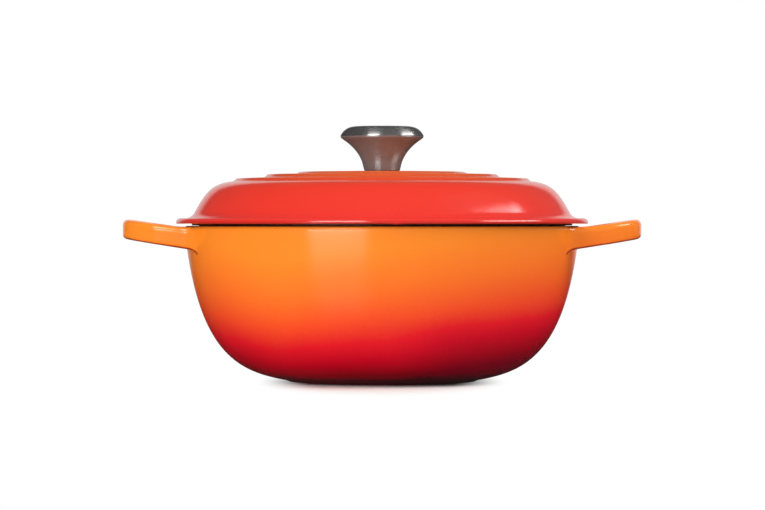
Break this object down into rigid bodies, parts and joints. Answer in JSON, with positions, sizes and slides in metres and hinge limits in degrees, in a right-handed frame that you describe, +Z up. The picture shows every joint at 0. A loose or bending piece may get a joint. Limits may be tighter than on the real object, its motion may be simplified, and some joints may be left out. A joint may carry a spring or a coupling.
{
  "type": "marmite pot",
  "caption": "Round enamelled cast-iron marmite: bowl-shaped body with loop handles and a domed, ringed lid with a flared steel knob, for slow cooking on a hob or in an oven.",
  "frame": {"origin": "centre of the foot, on the surface that the pot stands on", "axes": "+Z up along the pot's axis, +X through the handles"},
  "size_m": [0.35, 0.2784, 0.1723],
  "materials": {
    "pot_enamel": "gloss vitreous enamel, orange fading to deep red at the foot",
    "lid_enamel": "gloss vitreous enamel, red at the flange fading to orange at the crown",
    "knob_steel": "satin stainless steel",
    "fastener_steel": "plain stainless steel"
  },
  "bodies": {
    "pot": {"pot_body": "pot_enamel"},
    "lid": {"lid": "lid_enamel", "plain_washer": "fastener_steel", "spring_washer": "fastener_steel"},
    "screw": {"knob_screw": "fastener_steel"},
    "knob": {"knob_stem": "knob_steel", "knob_cap": "knob_steel", "knob_bush": "fastener_steel"}
  },
  "joints": [
    {"name": "lid_lift", "type": "slide", "parent": "pot", "child": "lid", "axis": [0, 0, 1], "range_m": [0, 0.2]},
    {"name": "screw_turn", "type": "hinge", "parent": "lid", "child": "screw", "pos_m": [0, 0, 0.138], "axis": [0, 0, -1], "range_deg": [0, 5041]},
    {"name": "knob_rise", "type": "slide", "parent": "lid", "child": "knob", "axis": [0, 0, 1], "range_m": [0, 0.0112]}
  ],
  "couplings": [
    {"joint": "screw_turn", "follows": "knob_rise", "rad_per_m": 7854}
  ]
}
